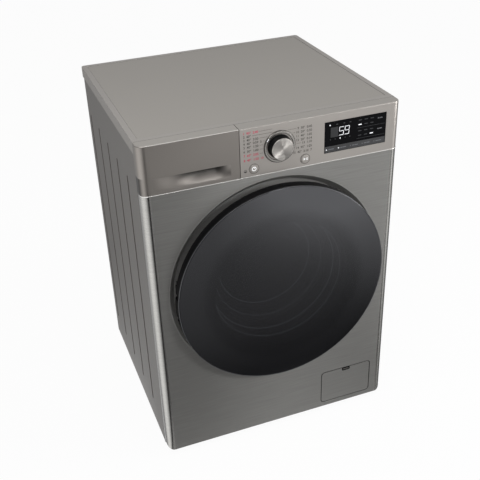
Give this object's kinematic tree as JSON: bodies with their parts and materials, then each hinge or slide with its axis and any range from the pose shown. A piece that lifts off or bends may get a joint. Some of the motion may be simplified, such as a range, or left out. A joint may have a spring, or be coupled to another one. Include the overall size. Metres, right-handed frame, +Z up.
{
  "type": "front load washing machine",
  "caption": "Free-standing front load washing machine with a round smoked door, a detergent drawer, a program knob and a display in a grey fascia.",
  "frame": {"origin": "floor level, below the middle of the overall box", "axes": "+X to the right as seen from the front, +Y to the back, +Z up"},
  "size_m": [0.6, 0.623, 0.85],
  "materials": {
    "brushed_front": "fine horizontal brushing",
    "grey_paint": "satin metallic grey",
    "zinc": "satin",
    "grey_plastic": "satin metallic grey",
    "top_grey": "fine texture",
    "smoked_cover": "polished, dark",
    "clear_glass": "polished",
    "black_gloss": "polished",
    "black_plastic": "satin",
    "display_glass": "polished, dark",
    "spun_metal": "spun",
    "dark_chrome": "polished",
    "white_plastic": "satin",
    "blue_plastic": "satin",
    "board_green": "satin",
    "grey_rubber": "matt",
    "black_rubber": "matt",
    "stainless": "bright",
    "tub_plastic": "satin",
    "cast_grey": "matt",
    "cast_alloy": "cast",
    "steel": "satin"
  },
  "bodies": {
    "cabinet": {"cabinet_wrap": "grey_paint", "rear_cover": "zinc", "base_tray": "black_plastic", "front_panel": "brushed_front", "top_frame": "grey_plastic", "top_plate": "top_grey", "control_fascia": "grey_plastic", "display_window": "display_glass", "display_board": "board_green", "knob_bezel": "dark_chrome", "dispenser_housing": "white_plastic", "dispenser_hose": "black_rubber", "inlet_valve": "white_plastic", "inlet_hoses": "black_rubber", "drain_pump": "white_plastic", "sump_hose": "black_rubber", "drain_hose": "grey_rubber", "drain_outlet": "black_plastic", "cord_gland": "black_plastic", "transit_caps": "black_plastic", "rear_screws": "steel", "filter_bay": "black_plastic", "door_hinge": "cast_alloy", "door_lock": "black_plastic", "gasket": "grey_rubber", "spring_hangers": "zinc", "springs": "steel", "damper_rods": "steel", "main_board": "black_plastic", "foot_nuts": "steel"},
    "door": {"door_frame": "black_gloss", "door_cover": "smoked_cover", "door_bowl": "clear_glass", "door_retainer": "black_plastic", "door_hook": "steel"},
    "drawer": {"drawer_front": "grey_plastic", "drawer_tray": "white_plastic", "siphon_cap": "blue_plastic"},
    "knob": {"program_knob": "black_gloss", "knob_cap": "spun_metal"},
    "power_key": {"power_button": "grey_plastic"},
    "start_key": {"start_button": "grey_plastic"},
    "flap": {"filter_flap": "brushed_front"},
    "filter": {"drain_filter": "blue_plastic"},
    "tub": {"tub_rear": "tub_plastic", "tub_front": "tub_plastic", "counterweights": "cast_grey", "stator": "steel", "heater": "steel", "bearings": "steel", "damper_cylinders": "black_plastic"},
    "drum": {"drum_shell": "stainless", "drum_back": "stainless", "drum_lifters": "white_plastic", "drum_spider": "cast_alloy", "rotor": "steel"},
    "front_left_foot": {"foot_front_left": "black_rubber"},
    "front_right_foot": {"foot_front_right": "black_rubber"},
    "rear_left_foot": {"foot_rear_left": "black_rubber"},
    "rear_right_foot": {"foot_rear_right": "black_rubber"}
  },
  "joints": [
    {"name": "door_swing", "type": "hinge", "parent": "cabinet", "child": "door", "pos_m": [-0.236, -0.2795, 0.465], "axis": [0, 0, -1], "range_deg": [0, 112]},
    {"name": "drawer_slide", "type": "slide", "parent": "cabinet", "child": "drawer", "axis": [0, -1, 0], "range_m": [0, 0.195]},
    {"name": "knob_turn", "type": "hinge", "parent": "cabinet", "child": "knob", "pos_m": [0.0085, -0.2715, 0.796], "axis": [0, 1, 0], "continuous": true},
    {"name": "power_press", "type": "slide", "parent": "cabinet", "child": "power_key", "axis": [0, 1, 0], "range_m": [0, 0.0015], "stiffness_N_per_m": 900},
    {"name": "start_press", "type": "slide", "parent": "cabinet", "child": "start_key", "axis": [0, 1, 0], "range_m": [0, 0.0015], "stiffness_N_per_m": 900},
    {"name": "flap_swing", "type": "hinge", "parent": "cabinet", "child": "flap", "pos_m": [0.1915, -0.2589, 0.046], "axis": [1, 0, 0], "range_deg": [0, 85]},
    {"name": "filter_turn", "type": "hinge", "parent": "cabinet", "child": "filter", "pos_m": [0.1915, -0.2295, 0.086], "axis": [0, 1, 0], "range_deg": [-90, 0]},
    {"name": "tub_float", "type": "slide", "parent": "cabinet", "child": "tub", "axis": [0, 0, 1], "range_m": [-0.008, 0.008], "stiffness_N_per_m": 14000, "springref_m": 0.02102, "deforming": ["springs", "dispenser_hose", "sump_hose", "gasket"]},
    {"name": "drum_spin", "type": "hinge", "parent": "tub", "child": "drum", "pos_m": [0, 0.0385, 0.465], "axis": [0, 1, 0], "continuous": true},
    {"name": "front_left_level", "type": "slide", "parent": "cabinet", "child": "front_left_foot", "axis": [0, 0, -1], "range_m": [-0.008, 0.012]},
    {"name": "rear_left_level", "type": "slide", "parent": "cabinet", "child": "rear_left_foot", "axis": [0, 0, -1], "range_m": [-0.008, 0.012]},
    {"name": "front_right_level", "type": "slide", "parent": "cabinet", "child": "front_right_foot", "axis": [0, 0, -1], "range_m": [-0.008, 0.012]},
    {"name": "rear_right_level", "type": "slide", "parent": "cabinet", "child": "rear_right_foot", "axis": [0, 0, -1], "range_m": [-0.008, 0.012]}
  ]
}
